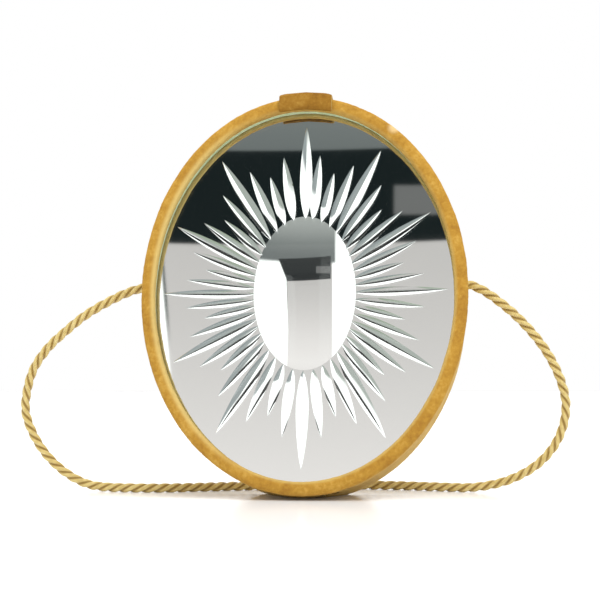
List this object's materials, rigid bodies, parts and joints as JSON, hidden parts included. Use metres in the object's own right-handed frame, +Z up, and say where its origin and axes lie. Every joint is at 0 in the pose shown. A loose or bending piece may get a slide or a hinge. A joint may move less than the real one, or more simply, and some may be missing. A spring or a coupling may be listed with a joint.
{
  "type": "evening bag",
  "caption": "Oval velvet evening bag with a wheel-cut mirror front in a padded rim, a hinged opening front, a magnetic top tab and a twisted cord strap.",
  "frame": {"origin": "middle of the flat under the case, where the bag stands on a table", "axes": "+Z up, the mirror faces -Y and leans back, +X to the right of someone who looks into the mirror"},
  "size_m": [0.2961, 0.0824, 0.2132],
  "materials": {
    "velvet_gold": "gold velvet, brushed nap",
    "velvet_tan": "tan velvet, brushed nap",
    "wadding": "soft cotton wadding",
    "board": "grey-brown bookboard",
    "lining": "pale gold satin",
    "rope": "twisted pale gold satin cord",
    "gilt": "polished, lacquered",
    "steel": "zinc plated",
    "magnet": "nickel plated",
    "cut_glass": "clear, faintly green, polished",
    "silvering": "silvered",
    "backing": "black felt"
  },
  "bodies": {
    "case": {"band_velvet": "velvet_tan", "back_velvet": "velvet_tan", "back_wadding": "wadding", "back_panel": "board", "case_band": "board", "case_lining": "lining", "slip_pocket": "lining", "gusset_left": "lining", "gusset_right": "lining", "keeper_plate": "steel", "cord_eyelet_left": "gilt", "cord_eyelet_right": "gilt", "cord_cap_left": "gilt", "cord_cap_right": "gilt", "strap_cord": "rope", "hinge_leaf_case": "gilt", "hinge_pin": "steel", "hinge_rivets_case": "gilt"},
    "lid": {"rim_velvet": "velvet_gold", "rim_core": "wadding", "mirror_glass": "cut_glass", "mirror_silvering": "silvering", "mirror_pad": "backing", "lid_board": "board", "lid_ring": "board", "lid_band_velvet": "velvet_tan", "lid_lining": "lining", "hinge_leaf_lid": "gilt", "hinge_rivets_lid": "gilt", "tab_wrap": "velvet_gold"},
    "tab": {"tab_flap": "velvet_gold", "tab_stiffener": "board", "tab_magnet": "magnet"}
  },
  "joints": [
    {"name": "lid_hinge", "type": "hinge", "parent": "case", "child": "lid", "pos_m": [0, -0.01497, 0.0028], "axis": [1, 0, 0], "range_deg": [0, 28]},
    {"name": "tab_hinge", "type": "hinge", "parent": "lid", "child": "tab", "pos_m": [0, 0.01795, 0.2106], "axis": [1, 0, 0], "range_deg": [0, 70]}
  ]
}
